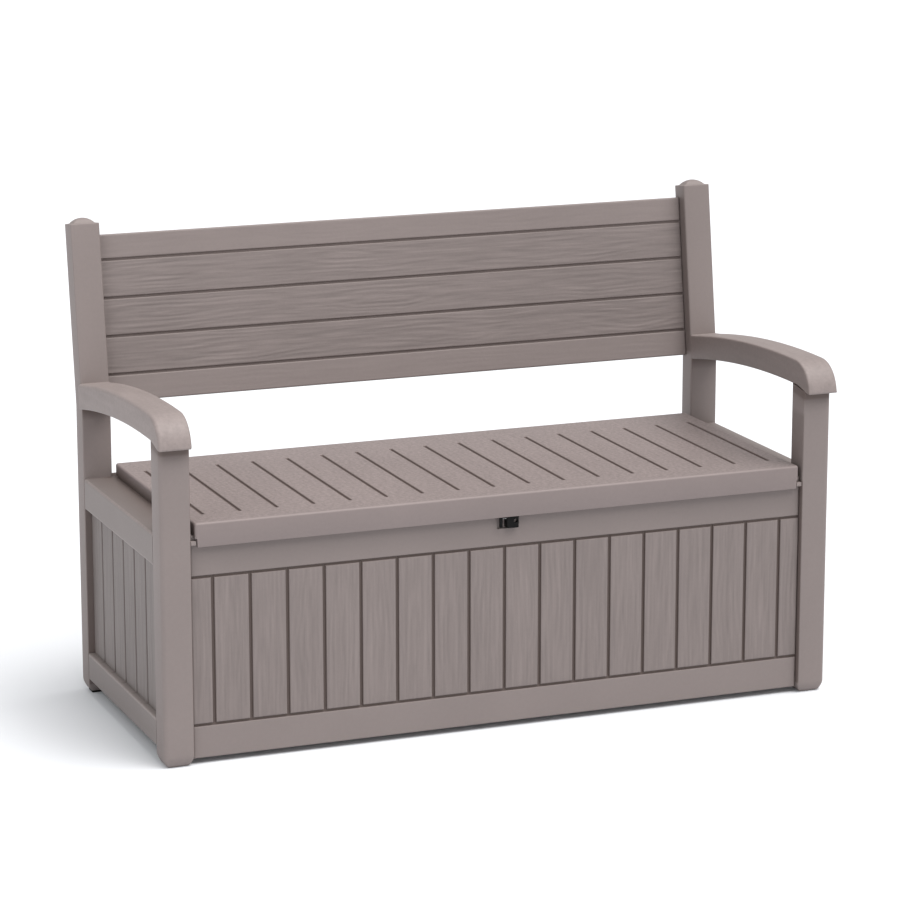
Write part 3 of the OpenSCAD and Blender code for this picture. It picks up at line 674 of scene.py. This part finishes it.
def backrest_panel():
    """The face, and flanges behind its four edges."""
    us = lines(-LEG_IN, LEG_IN, BACK_LONG_STEP, ([-LEG_IN], EDGE_LINES), ([LEG_IN], negative(EDGE_LINES)))
    vs = lines(BACK_LOW, BACK_TOP, BACK_GRAIN_STEP, (BACK_GROOVES, GROOVE_LINES),
               ([BACK_LOW], EDGE_LINES), ([BACK_TOP], negative(EDGE_LINES)))

    def place(p):
        return lean_point(p[:, 0], BACK_T - p[:, 2], p[:, 1])

    build = Build()
    slab(build, us, vs, back_relief, [BACK_LOW, BACK_TOP], flat_back, place)

    def block(x0, t0, s0, x1, t1, s1):
        local = Build()
        rounded_block(local, (x0, t0, s0), (x1, t1, s1))
        p = np.concatenate(local.points)
        build.add(lean_point(p[:, 0], p[:, 1], p[:, 2]), local.faces)

    near, far = BACK_T + 4 * MM, BACK_T + 12 * MM
    for s in (BACK_LOW, BACK_TOP - 3.6 * MM):
        block(-LEG_IN, near, s + 0.6 * MM, LEG_IN, far, s + 3.6 * MM)
    for x in (-LEG_IN, LEG_IN - RIB):
        block(x, near, BACK_LOW + MM, x + RIB, far, BACK_TOP - MM)
    piece("backrest_panel", "_moulding", build, resin_back, "frame")


# ---- Legs, posts and armrests ----

FOOT = ((0, 8.6), (0.6, 7.9), (2, 6.6), (4, 5.2), (6.5, 3.8), (9, 2.6), (11.5, 1.6), (14, 0.8), (17, 0.2),
        (20, 0))  # heights and insets in mm
LEG_RADII = [r * MM for r in (2.5, 2.5, 3, 9)]
POST_RADII = [r * MM for r in (4.5, 4.5, 4, 2.5)]


def foot_sections(y0, y1, low, radii):
    """Rings of a foot whose lower edges taper in, from its lower end up to its full size."""
    out = []
    for z, inset in FOOT:
        i = inset * MM
        corners = [min((9 - 0.6 * inset) * MM, r) for r in radii]
        ring = rounded_ring(LEG_IN + i, LEG_OUT - i, y0 + i, y1 - i, corners)
        out.append([(x, y, low + z * MM) for x, y in ring])
    return out


ARM_R, ARM_LOW_R = 2250 * MM, (2250 - 47) * MM  # of an armrest's upper and lower arch
ARM_AXIS = (FRONT_Y + 80 * MM, (643 - 2250) * MM)  # Y and Z of the arches' middle
NOSE_R, NOSE_OUT = 62 * MM, 19 * MM  # the nose's radius, and how far it overhangs the leg
NOSE_DROP, DROP_Y = 8 * MM, 38 * MM  # the underside's drop, and how far behind the leg's face it starts
NOSE_EDGE = 4 * MM  # rounding of the nose's lower edge
NOSE_Y = FRONT_Y + NOSE_R - NOSE_OUT
NOSE_Z = ARM_AXIS[1] + math.sqrt((ARM_R - NOSE_R) ** 2 - (NOSE_Y - ARM_AXIS[0]) ** 2)


def arm_under(y):
    """Height of an armrest's underside, which drops towards the nose."""
    arch = ARM_AXIS[1] + math.sqrt(ARM_LOW_R ** 2 - (y - ARM_AXIS[0]) ** 2)
    return arch - NOSE_DROP * float(fade(FRONT_Y + DROP_Y - y, DROP_Y + NOSE_OUT))


def arm_over(y):
    """Height of its top behind the nose."""
    return ARM_AXIS[1] + math.sqrt(ARM_R ** 2 - (y - ARM_AXIS[0]) ** 2)


def mirrored(rings, side):
    return [[(side * x, y, z) for x, y, z in ring] for ring in rings]


def shade_values(rings, tint):
    """Point values whose groove share is the painted shade that tint(x, y, z) gives."""
    x, y, z = np.array(rings).reshape(-1, 3).T
    values = np.zeros((len(x), 3))
    values[:, 0] = tint(x, y, z)
    return values


def beside_box(z):
    return (z > 20 * MM) & (z < RAIL_Z - 5 * MM)


def leg_painted_shade(x, y, z):
    """Painted shade on the inner side, most of all beside the front panel."""
    inner = x < LEG_IN + 1.5 * MM
    return inner * (0.75 * beside_box(z) + 0.35 * (z > RAIL_Z))


def post_painted_shade(x, y, z):
    """Painted shade where the side panel and the armrest meet its front, and on the inner side beside the
    backrest."""
    s = (z - KINK_Z) * math.cos(LEAN) + (y - POST_Y) * math.sin(LEAN)
    beside_back = (x < LEG_IN + MM) & (s > 10 * MM) & (s < BACK_TOP - 2 * MM)
    below = arm_under(POST_Y) - z
    under_arm = (1 - fade(below, 30 * MM)) * ((y < POST_Y + MM) & (below > 0))
    return 0.7 * ((y < POST_Y + 0.3 * MM) & beside_box(z)) + 0.4 * beside_back + 0.9 * under_arm


UNDER_ARM_SHADE = ((40, 0), (26, 0.15), (18, 0.4), (13, 0.95), (6, 1), (-0.3, 1))  # mm below the armrest, and the painted shade there


def upright_rings(ring, zs):
    return [[(x, y, z) for x, y in ring] for z in zs]


def front_leg(side):
    """A straight leg that ends in the armrest, with painted shade under it."""
    ring = rounded_ring(LEG_IN, LEG_OUT, FRONT_Y, LEG_BACK_Y, LEG_RADII)
    rings = foot_sections(FRONT_Y, LEG_BACK_Y, leg_low.z, LEG_RADII)
    rings += upright_rings(ring, sorted([*np.linspace(0.06, 0.54, 17), RAIL_Z - 9 * MM, RAIL_Z - 2 * MM]))
    values = shade_values(rings, leg_painted_shade)
    for below, tint in UNDER_ARM_SHADE:
        rings.append([(x, y, arm_under(y) - below * MM) for x, y in ring])
        values = np.vstack([values, [(tint, 0, 0)] * len(ring)])
    build = Build()
    loft(build, mirrored(rings, side), values)
    piece(sided(side, "front_leg"), "_moulding", build, resin_frame, "frame")


POST_S = (900.5 * MM - KINK_Z) / math.cos(LEAN)  # height of a post's corners along its slope
CROWN_H, SHOULDER = 10.5 * MM, 6.5 * MM  # the crown's height, and the flat round its foot
TOP_EDGE = ((0, 1.4), (0.12, 0.8), (0.45, 0.35), (1.0, 0.08), (1.8, 0), (4.0, 0))  # insets and drops in mm
BEND_HALF = 12 * MM  # half the length over which a post bends


def crown_sections():
    """Rings of a post's top: a rounded edge, a flat shoulder and a cushion-shaped crown."""
    width, depth = LEG_OUT - LEG_IN, POST_DEPTH
    out = []
    for inset, drop in TOP_EDGE:
        i = inset * MM
        ring = rounded_ring(LEG_IN + i, LEG_OUT - i, i, depth - i, [max(r - i, 1.5 * MM) for r in POST_RADII])
        out.append([(x, t, POST_S - drop * MM) for x, t in ring])
    half = width / 2 - SHOULDER
    r = (half ** 2 + CROWN_H ** 2) / (2 * CROWN_H)
    for f in (0.97, 0.9, 0.8, 0.68, 0.54, 0.4, 0.26, 0.12, 0.03):
        rise = math.sqrt(r * r - (half * f) ** 2) - (r - CROWN_H)
        hx, ht = half * f, (depth / 2 - SHOULDER) * f
        mid = (LEG_IN + LEG_OUT) / 2
        radii = [min(2.2 * MM, 0.4 * ht)] * 4
        ring = rounded_ring(mid - hx, mid + hx, depth / 2 - ht, depth / 2 + ht, radii)
        out.append([(x, t, POST_S + rise) for x, t in ring])
    return out


def rear_post(side):
    """A post that stands upright beside the box, bends back over a short length and ends in a crown."""
    rings = foot_sections(POST_Y, REAR_Y, post_low.z, POST_RADII)
    ring = rounded_ring(LEG_IN, LEG_OUT, POST_Y, REAR_Y, POST_RADII)
    rings += upright_rings(ring, sorted([*np.linspace(0.06, 0.535, 17), RAIL_Z - 9 * MM, RAIL_Z - 2 * MM,
                                         0.543]))
    for share in np.linspace(0, 1, 9):  # through the bend
        turn = share * LEAN
        s = (share - 0.5) * 2 * BEND_HALF
        bend = []
        for x, y in ring:
            t = y - POST_Y
            z0 = KINK_Z + s * (1 if share < 0.5 else math.cos(LEAN)) - t * math.sin(turn)
            y0 = POST_Y + t * math.cos(turn) + (s * math.sin(LEAN) if share > 0.5 else 0)
            bend.append((x, y0, z0))
        rings.append(bend)
    flat = rounded_ring(LEG_IN, LEG_OUT, 0, POST_DEPTH, POST_RADII)
    lean = [[(x, t, s) for x, t in flat] for s in sorted(
        [*np.linspace(0.03, POST_S - 4 * MM, 10), BACK_TOP - 6 * MM, BACK_TOP + MM])]
    for section in lean + crown_sections():
        p = np.array(section)
        rings.append(lean_point(p[:, 0], p[:, 1], p[:, 2]).tolist())
    build = Build()
    loft(build, mirrored(rings, side), shade_values(rings, post_painted_shade))
    piece(sided(side, "rear_post"), "_moulding", build, resin_frame, "frame")


def arm_section(thick, inset=0.0):
    """A ring across an armrest, as x and the depth below its top: the outer upper edge is the softest."""
    radii = [min(r * MM, 0.45 * thick) for r in (7, 4.5, 3, 3)]
    return rounded_ring(arm_low.x + inset, arm_high.x - inset, -thick, 0, radii, 6)


def nose_section(angle):
    """A ring on the plane through the nose's centre at an angle above the horizon. The nose's lower edge is
    rounded."""
    def height(reach):
        """How far the plane is above the underside at a reach from the centre."""
        return NOSE_Z + reach * math.sin(angle) - arm_under(NOSE_Y - reach * math.cos(angle))

    cut = float(edge_drop(height(NOSE_R), NOSE_EDGE))
    low, high = 0.0, NOSE_R
    for k in range(40):
        reach = (low + high) / 2
        low, high = (low, reach) if height(reach) > 0 else (reach, high)
    r = NOSE_R - cut
    return [(x, NOSE_Y - (r + d) * math.cos(angle), NOSE_Z + (r + d) * math.sin(angle))
            for x, d in arm_section(r - low, cut)]


TIP_ANGLES = (0.4, 0.6, 0.9, 1.3, 1.8, 2.4, 3.1)  # degrees above the nose's lower edge


def armrest(side):
    """An armrest whose rear end leans with the post. Its inner side has a little painted shade."""
    tip = math.asin((arm_under(FRONT_Y - NOSE_OUT) - NOSE_Z) / NOSE_R)
    rings = [nose_section(tip + math.radians(a)) for a in TIP_ANGLES]
    rings += [nose_section(a) for a in np.linspace(tip + math.radians(4), math.pi / 2, 25)]
    for y in np.linspace(NOSE_Y, POST_Y, 30)[1:]:
        lean = math.tan(LEAN) if y == POST_Y else 0
        top = arm_over(y)
        section = arm_section(top - arm_under(y))
        rings.append([(x, y + max(top + d - KINK_Z, 0) * lean, top + d) for x, d in section])
    # painted shade on the inner side
    values = [(0.4 if x < arm_low.x + 1.5 * MM else 0, 0, 1) for ring in rings for x, y, z in ring]
    build = Build()
    loft(build, mirrored(rings, side), values)
    piece(sided(side, "armrest"), "_moulding", build, resin_arm_lit, "frame")


# ---- Lid ----

LID_EDGE = 4 * MM  # rounding of the top edges
LID_CORNER = 5 * MM  # rounding of the corners in plan
LIP_DEPTH, LID_WALL = 8 * MM, 4 * MM
LIP_Z = 403 * MM
LID_TOP_INSIDE = lid_high.z - 5 * MM
SEAT_GROOVE = (FRONT_Y + 65 * MM, FRONT_Y + 415 * MM)
SEAT_LINES = both(0, 1.3, 2.1, 2.35, 2.6, 2.9, 3.3, 4.0, 4.8, 6.4)
HINGE_NOTCH = [c + s * 31.5 * MM for c in (-0.4, 0.4) for s in (-1, 1)]
REST_NOTCH = LEG_IN - 12.5 * MM
REST_NOTCH_Z, SKIRT_Z = 418.5 * MM, 423.3 * MM
CORNER_POINTS = 7  # between the ends of each corner's arc
RIM = (5, 4.4, 4, 3.1, 2.3, 1.6, 1.0, 0.5, 0.15, 0)  # insets of the rings down the rim, in mm


def lid_relief(x, y):
    """The top's height: round-ended grooves, and grain that fades out towards the edges. Also painted shade
    in the grooves, and the wood share.
    """
    d = to_nearest(x, PLANK_LINES)
    away = np.hypot(d, np.maximum(-within(y, *SEAT_GROOVE), 0))
    drop = groove_drop(away, 2.6 * MM, 3 * MM, 2.2 * MM)
    plank = np.floor(x / PITCH)
    inset = np.minimum(within(x, lid_low.x, lid_high.x), within(y, lid_low.y, lid_high.y))
    clear = fade(inset - 12 * MM, 16 * MM) * fade(d - 3 * MM, 5 * MM)
    grain = 0.6 * wood(y, x - (plank + 0.5) * PITCH, plank + 210) * clear
    # the second value is painted shade in the grooves
    return (lid_high.z - drop + GRAIN_DEEP * grain, fade(4.9 * MM - away, 2.6 * MM), grain,
            fade(inset - 3 * MM, 6 * MM))


def lid_bottom(x, y):
    """Height of the skirt's lower edge: deep at the front lip, notched for the lid rests and the hinges."""
    if y < lid_low.y + LIP_DEPTH - 1e-6:
        return LIP_Z if abs(x) < REST_NOTCH else REST_NOTCH_Z
    near_hinge = any(HINGE_NOTCH[k] < x < HINGE_NOTCH[k + 1] for k in (0, 2))
    if near_hinge and y > lid_high.y - 2 * LID_WALL:
        return LID_TOP_INSIDE
    return SKIRT_Z


def perimeter(xs, ys, inset, r):
    """Points round the lid at an inset from its edge, anticlockwise from the front left corner. The corners
    keep their middle, so they shrink to a point where the inset reaches r."""
    x0, x1, y0, y1 = lid_low.x, lid_high.x, lid_low.y, lid_high.y
    left, right, near, far = x0 + r, x1 - r, y0 + r, y1 - r
    turn = max(r - inset, 0)
    arc = np.linspace(0, math.pi / 2, CORNER_POINTS + 2)[1:-1]
    out = [(x, near - turn) for x in xs]
    out += [(right + turn * math.sin(a), near - turn * math.cos(a)) for a in arc]
    out += [(right + turn, y) for y in ys]
    out += [(right + turn * math.cos(a), far + turn * math.sin(a)) for a in arc]
    out += [(x, far + turn) for x in xs[::-1]]
    out += [(left - turn * math.sin(a), far + turn * math.cos(a)) for a in arc]
    out += [(left - turn, y) for y in ys[::-1]]
    out += [(left - turn * math.cos(a), near - turn * math.sin(a)) for a in arc]
    return out


def lid_panel():
    """The top, its rim, the lip and skirt round it, and a plain underside that the liner covers."""
    xs = lines(lid_low.x + LID_CORNER, lid_high.x - LID_CORNER, GRAIN_STEP,
               (PLANK_LINES, SEAT_LINES), (HINGE_NOTCH + [-REST_NOTCH, REST_NOTCH], STEEP))
    ends = both(0, 0.9, 1.7, 2.3, 2.7, 3.2, 4.0, 5.0, 6.5)
    ys = lines(lid_low.y + LID_CORNER, lid_high.y - LID_CORNER, LONG_STEP, (SEAT_GROOVE, ends),
               ([lid_low.y + LIP_DEPTH, lid_high.y - 2 * LID_WALL], STEEP))
    x, y = np.meshgrid(xs, ys, indexing="ij")
    height, *shares = lid_relief(x, y)
    top = np.stack([x, y, height], -1).reshape(-1, 3)
    nx, ny = len(xs), len(ys)

    rings = []
    for inset in RIM:
        z = lid_high.z - float(edge_drop(inset * MM, LID_EDGE))
        rings.append([(px, py, z) for px, py in perimeter(xs, ys, inset * MM, LID_CORNER)])
    outer = perimeter(xs, ys, 0, LID_CORNER)
    low = [lid_bottom(px, py) for px, py in outer]
    for inset, rise in ((0, 1.0), (0.3, 0.3), (1.0, 0)):
        plan = perimeter(xs, ys, inset * MM, LID_CORNER)
        rings.append([(px, py, z + rise * MM) for (px, py), z in zip(plan, low)])

    wall_x, near, far = lid_high.x - LID_WALL, lid_low.y + LIP_DEPTH, lid_high.y - LID_WALL
    inside = [(min(max(px, -wall_x), wall_x), min(max(py, near), far)) for px, py in outer]
    rings.append([(px, py, z) for (px, py), z in zip(inside, low)])
    rings.append([(px, py, LID_TOP_INSIDE) for px, py in inside])

    n = len(outer)
    start = len(top)
    points = np.concatenate([top] + [np.array(ring) for ring in rings])
    faces = grid_faces(nx, ny)
    for k in range(len(rings) - 1):
        a, b = start + k * n, start + (k + 1) * n
        faces += [[a + i, a + (i + 1) % n, b + (i + 1) % n, b + i] for i in range(n)]
    last = start + (len(rings) - 1) * n
    right = nx + CORNER_POINTS
    far_side = right + ny + CORNER_POINTS
    for i in range(nx - 1):
        faces.append([last + i, last + i + 1, last + far_side + nx - 2 - i, last + far_side + nx - 1 - i])
    faces.append([last + k for k in range(nx - 1, far_side + 1)])
    faces.append([last + k % n for k in range(far_side + nx - 1, n + 1)])
    values = np.zeros((len(points), 3))
    for k, share in enumerate(shares):
        values[:len(top), k] = share.ravel()
    values[start + n:start + (len(RIM) - 1) * n, 1] = 1  # painted highlight: the rim is paler
    skirt = np.abs(points[:, 0]) > lid_high.x - 0.1 * MM  # painted shade: its two sides are darker
    values[skirt, 0] = np.interp(points[skirt, 2], [SKIRT_Z, lid_high.z - LID_EDGE], [1, 0.25])
    build = Build()
    build.add(points, faces, values)
    piece("lid_panel", "_moulding", build, resin_lid, "lid")


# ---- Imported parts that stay: softened edges and their own finish ----

def soften(node, material, width):
    """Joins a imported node's triangles into flat faces and rounds their edges."""
    obj = frame["nodes"][node]
    obj.data.polygons.foreach_set("use_smooth", [True] * len(obj.data.polygons))
    weld = obj.modifiers.new("weld", "WELD")
    weld.merge_threshold = MERGE
    flat = obj.modifiers.new("flat", "DECIMATE")
    flat.decimate_type = "DISSOLVE"
    flat.angle_limit = math.radians(0.5)
    bevel = obj.modifiers.new("bevel", "BEVEL")
    bevel.width = width
    bevel.segments = 2
    bevel.limit_method = "ANGLE"
    bevel.angle_limit = math.radians(32)
    bevel.use_clamp_overlap = True
    shade = obj.modifiers.new("shade", "WEIGHTED_NORMAL")
    shade.keep_sharp = False
    obj.data.materials.clear()
    obj.data.materials.append(material)


def islands(node):
    """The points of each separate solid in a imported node."""
    bm = bmesh.new()
    bm.from_mesh(frame["nodes"][node].data)
    bmesh.ops.remove_doubles(bm, verts=bm.verts, dist=MERGE)
    left, out = set(bm.verts), []
    while left:
        group, queue = [], [left.pop()]
        while queue:
            vert = queue.pop()
            group.append(vert.co.copy())
            for edge in vert.link_edges:
                other = edge.other_vert(vert)
                if other in left:
                    left.remove(other)
                    queue.append(other)
        out.append(np.array(group))
    bm.free()
    return sorted(out, key=lambda p: tuple(np.round(p.mean(0), 4)))


def cross_recess(x, y, r):
    """Depth of a cross recess in a screw head of radius r."""
    arm = fade(0.62 * r - np.maximum(np.abs(x), np.abs(y)), 0.15 * r)
    slot = fade(0.15 * r - np.minimum(np.abs(x), np.abs(y)), 0.07 * r)
    return 0.32 * r * arm * slot


def screw(build, points):
    """A pan-head screw with a cross recess and a thread, where a packed screw is."""
    middle = points.mean(0)
    axis = np.linalg.svd(points - middle)[2][0]
    along = (points - middle) @ axis
    away = np.linalg.norm(points - middle - np.outer(along, axis), axis=1)
    head_r = away.max()
    if along[np.argmax(away)] > 0:
        axis, along = -axis, -along
    head_end, tip = along.min(), along.max()
    shank_r = away[along > head_end + 0.7 * (tip - head_end)].max()
    rim = along[away > 0.9 * head_r].max()
    side = np.cross(axis, [0.3, 0.5, 0.81])
    side /= np.linalg.norm(side)
    up = np.cross(axis, side)
    turns = np.linspace(0, 2 * math.pi, 37)[:-1]
    head = rim - head_end
    profile = [(f * head_r, head_end + 0.30 * head * f ** 4, True) for f in np.linspace(0.02, 0.94, 22)]
    profile += [(0.985 * head_r, head_end + 0.42 * head, False), (head_r, head_end + 0.60 * head, False),
                (head_r, rim - 0.08 * head, False), (0.98 * head_r, rim, False), (shank_r, rim, False)]
    pitch = 0.9 * shank_r
    length = tip - rim
    steps = max(8, int(length / pitch * 6))
    rings = []
    for r, z, recessed in profile:
        x, y = r * np.cos(turns), r * np.sin(turns)
        deep = cross_recess(x, y, head_r) if recessed else 0
        rings.append(middle + np.outer(x, side) + np.outer(y, up) + np.outer(z + deep, axis))
    for k in range(1, steps + 1):
        z = rim + length * k / steps
        ridge = 0.5 + 0.5 * np.cos(turns - 2 * math.pi * (z - rim) / pitch)
        taper = min(1, (tip - z) / (1.2 * shank_r) + 0.25)
        r = shank_r * taper * (0.80 + 0.20 * ridge ** 2)
        rings.append(middle + np.outer(r * np.cos(turns), side) + np.outer(r * np.sin(turns), up) + z * axis)
    loft(build, rings)


def screws(node, body):
    """One visible piece for all the identical screws of a node."""
    build = Build()
    for points in islands(node):
        screw(build, points)
    piece(node, "_detailed", build, steel, body, 30)


front_panel()
rear_panel()
backrest_panel()
lid_panel()
for side in (-1, 1):
    side_panel(side)
    front_leg(side)
    rear_post(side)
    armrest(side)
for node, body in (("armrest_screws", "frame"), ("backrest_screws", "frame"), ("bracket_screws", "frame"),
                   ("knuckle_screws", "lid"), ("box_lock_screws", "frame"), ("lid_lock_screws", "lid")):
    screws(node, body)
for node in ("floor_panel", "lid_liner"):
    soften(node, resin_inner, 0.8 * MM)
soften("backrest_cover", resin_back, 1.5 * MM)
for side in ("left", "right"):
    soften(side + "_hinge_bracket", resin_inner, 0.6 * MM)
    soften(side + "_hinge_knuckle", resin_inner, 0.6 * MM)
    soften(side + "_hinge_pin", steel, 0.5 * MM)
    soften(side + "_lid_rest", resin_frame, 1.2 * MM)
for node in ("lid_lock_eye", "box_lock_eye"):
    soften(node, black, 0.5 * MM)
soften("foot_pads", black, 0.5 * MM)


# ---- Camera, light and floor ----

def camera():
    """The photo's camera, fitted to the bench's corners."""
    data = bpy.data.cameras.new("camera")
    data.lens = 141.0
    data.sensor_width = 36.0
    data.clip_start, data.clip_end = 0.1, 60
    obj = bpy.data.objects.new("camera", data)
    bpy.context.scene.collection.objects.link(obj)
    obj.location = (-2.383, FRONT_Y - 5.7556, 1.987)
    turn, tilt, roll = 0.3759, -0.2299, -0.0006
    obj.matrix_world = (Matrix.Translation(obj.location) @ Matrix.Rotation(-turn, 4, "Z")
                        @ Matrix.Rotation(math.pi / 2 + tilt, 4, "X") @ Matrix.Rotation(roll, 4, "Z"))
    bpy.context.scene.camera = obj


def aimed_light(kind, name, location, target, size, power, colour=(1, 1, 1)):
    """A disk light, or a sun whose size is the angle that it spans."""
    data = bpy.data.lights.new(name, kind)
    if kind == "SUN":
        data.angle = size
    else:
        data.shape = "DISK"
        data.size = size
    data.energy = power
    data.color = colour
    obj = bpy.data.objects.new(name, data)
    bpy.context.scene.collection.objects.link(obj)
    obj.location = location
    obj.rotation_euler = (Vector(target) - Vector(location)).to_track_quat("-Z", "Y").to_euler()


def floor():
    mesh = bpy.data.meshes.new("floor")
    r = 30
    mesh.from_pydata([(-r, -r, 0), (r, -r, 0), (r, r, 0), (-r, r, 0)], [], [(0, 1, 2, 3)])
    obj = bpy.data.objects.new("floor", mesh)
    bpy.context.scene.collection.objects.link(obj)
    material = Material("floor")
    material.shade(Base_Color=(0.72, 0.735, 0.76, 1), Emission_Color=(0.97, 0.98, 1.0, 1),
                   Emission_Strength=0.02, Roughness=0.9, Specular_IOR_Level=0.1)
    mesh.materials.append(material.made)


def world():
    """Even white light from all round."""
    scene = bpy.context.scene
    scene.world = bpy.data.worlds.new("studio")
    scene.world.use_nodes = True
    background = scene.world.node_tree.nodes["Background"]
    background.inputs["Color"].default_value = (1, 1, 1, 1)
    background.inputs["Strength"].default_value = 0.62
    scene.view_settings.view_transform = "Standard"


camera()
world()
floor()
aimed_light("SUN", "overhead", (2.0, -1.8, 6.2), (0, 0, 0.4), math.radians(50), 3.5, (1.0, 0.985, 0.97))
aimed_light("AREA", "left_fill", (-2.2, -1.15, 2.0), (-0.66, 0, 0.35), 1.4, 16, (0.97, 0.99, 1.0))
